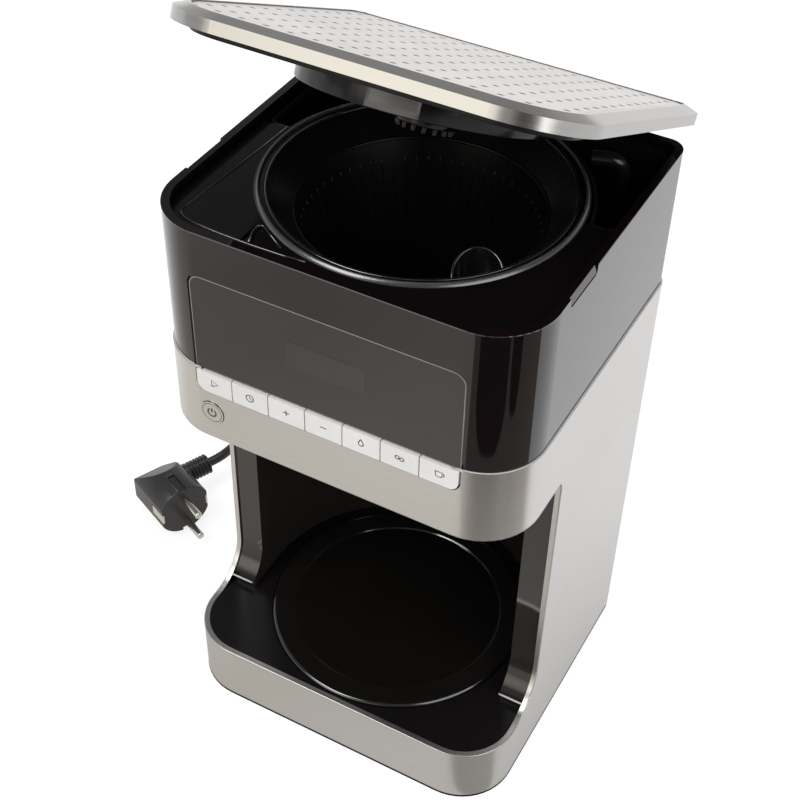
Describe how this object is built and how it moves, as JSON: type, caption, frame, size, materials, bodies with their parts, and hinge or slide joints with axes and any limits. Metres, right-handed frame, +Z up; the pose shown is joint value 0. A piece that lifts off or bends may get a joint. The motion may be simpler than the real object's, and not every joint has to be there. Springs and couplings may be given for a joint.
{
  "type": "drip coffee maker",
  "caption": "Upright drip coffee maker with an open jug bay, round hot plate, push buttons below a dark display, and a rear-hinged lid raised over the filter basket.",
  "frame": {"origin": "on the floor under the middle of the machine's outline, cord left out", "axes": "+Z up, front with the buttons towards -Y, +X to the viewer's right when facing the front"},
  "size_m": [0.3084, 0.3, 0.4329],
  "materials": {
    "brushed_steel": "brushed",
    "black_gloss": "gloss",
    "black_matte": "satin",
    "window_dark": "gloss",
    "button_white": "satin",
    "panel_white": "satin",
    "bright_metal": "polished",
    "plate_black": "satin",
    "cast_alloy": "cast",
    "plain_steel": "plain",
    "seal_rubber": "matt",
    "hose_rubber": "matt",
    "tank_plastic": "satin",
    "board_green": "satin",
    "display_grey": "gloss",
    "cord_black": "satin",
    "plug_black": "satin",
    "contact_metal": "plated"
  },
  "bodies": {
    "machine": {"base_deck": "black_matte", "base_pan": "black_matte", "base_screws": "plain_steel", "bay_ceiling": "black_matte", "bay_liner": "black_gloss", "button_carrier": "black_matte", "check_valve": "black_matte", "clamp_screws": "plain_steel", "cold_hose": "hose_rubber", "control_board": "board_green", "cord_coil": "cord_black", "cord_gland": "seal_rubber", "cord_lead": "cord_black", "cord_tail": "cord_black", "cover_screws": "plain_steel", "display_module": "display_grey", "display_window": "window_dark", "drip_spring": "plain_steel", "earth_clips": "contact_metal", "feet": "seal_rubber", "filter_basket": "black_matte", "heater_block": "cast_alloy", "heater_clamp": "plain_steel", "heating_rod": "plain_steel", "hinge_pins": "plain_steel", "hose_clips": "plain_steel", "hot_hose": "hose_rubber", "hot_plate": "plate_black", "plate_seal": "seal_rubber", "plug_body": "plug_black", "plug_pins": "contact_metal", "power_ring": "bright_metal", "rear_cover": "black_matte", "riser_tube": "tank_plastic", "steel_sleeve": "brushed_steel", "tact_switches": "display_grey", "thermal_fuses": "plain_steel", "thermostat": "plain_steel", "top_deck": "black_matte", "upper_shell": "black_gloss", "water_tank": "tank_plastic", "wire_loom": "cord_black"},
    "lid": {"lid_frame": "brushed_steel", "lid_panel": "panel_white", "lid_liner": "black_matte", "shower_channel": "black_matte", "steam_skirt": "black_gloss", "shower_head": "black_matte", "lid_screws": "plain_steel"},
    "button_1_cap": {"button_1": "button_white"},
    "button_2_cap": {"button_2": "button_white"},
    "button_3_cap": {"button_3": "button_white"},
    "button_4_cap": {"button_4": "button_white"},
    "button_5_cap": {"button_5": "button_white"},
    "button_6_cap": {"button_6": "button_white"},
    "button_7_cap": {"button_7": "button_white"},
    "power_button_cap": {"power_button": "bright_metal"},
    "valve": {"drip_valve": "black_matte", "valve_seal": "seal_rubber"}
  },
  "joints": [
    {"name": "lid_hinge", "type": "hinge", "parent": "machine", "child": "lid", "pos_m": [0, 0.09495, 0.3383], "axis": [-1, 0, 0], "range_deg": [-26, 60]},
    {"name": "button_1_push", "type": "slide", "parent": "machine", "child": "button_1_cap", "axis": [0, 1, 0], "range_m": [0, 0.0008], "stiffness_N_per_m": 400},
    {"name": "button_2_push", "type": "slide", "parent": "machine", "child": "button_2_cap", "axis": [0, 1, 0], "range_m": [0, 0.0008], "stiffness_N_per_m": 400},
    {"name": "button_3_push", "type": "slide", "parent": "machine", "child": "button_3_cap", "axis": [0, 1, 0], "range_m": [0, 0.0008], "stiffness_N_per_m": 400},
    {"name": "button_4_push", "type": "slide", "parent": "machine", "child": "button_4_cap", "axis": [0, 1, 0], "range_m": [0, 0.0008], "stiffness_N_per_m": 400},
    {"name": "button_5_push", "type": "slide", "parent": "machine", "child": "button_5_cap", "axis": [0, 1, 0], "range_m": [0, 0.0008], "stiffness_N_per_m": 400},
    {"name": "button_6_push", "type": "slide", "parent": "machine", "child": "button_6_cap", "axis": [0, 1, 0], "range_m": [0, 0.0008], "stiffness_N_per_m": 400},
    {"name": "button_7_push", "type": "slide", "parent": "machine", "child": "button_7_cap", "axis": [0, 1, 0], "range_m": [0, 0.0008], "stiffness_N_per_m": 400},
    {"name": "power_button_push", "type": "slide", "parent": "machine", "child": "power_button_cap", "axis": [0, 1, 0], "range_m": [0, 0.0008], "stiffness_N_per_m": 400},
    {"name": "drip_valve_lift", "type": "slide", "parent": "machine", "child": "valve", "axis": [0, 0, 1], "range_m": [0, 0.004], "stiffness_N_per_m": 120, "springref_m": -0.004, "deforming": ["drip_spring"]}
  ]
}
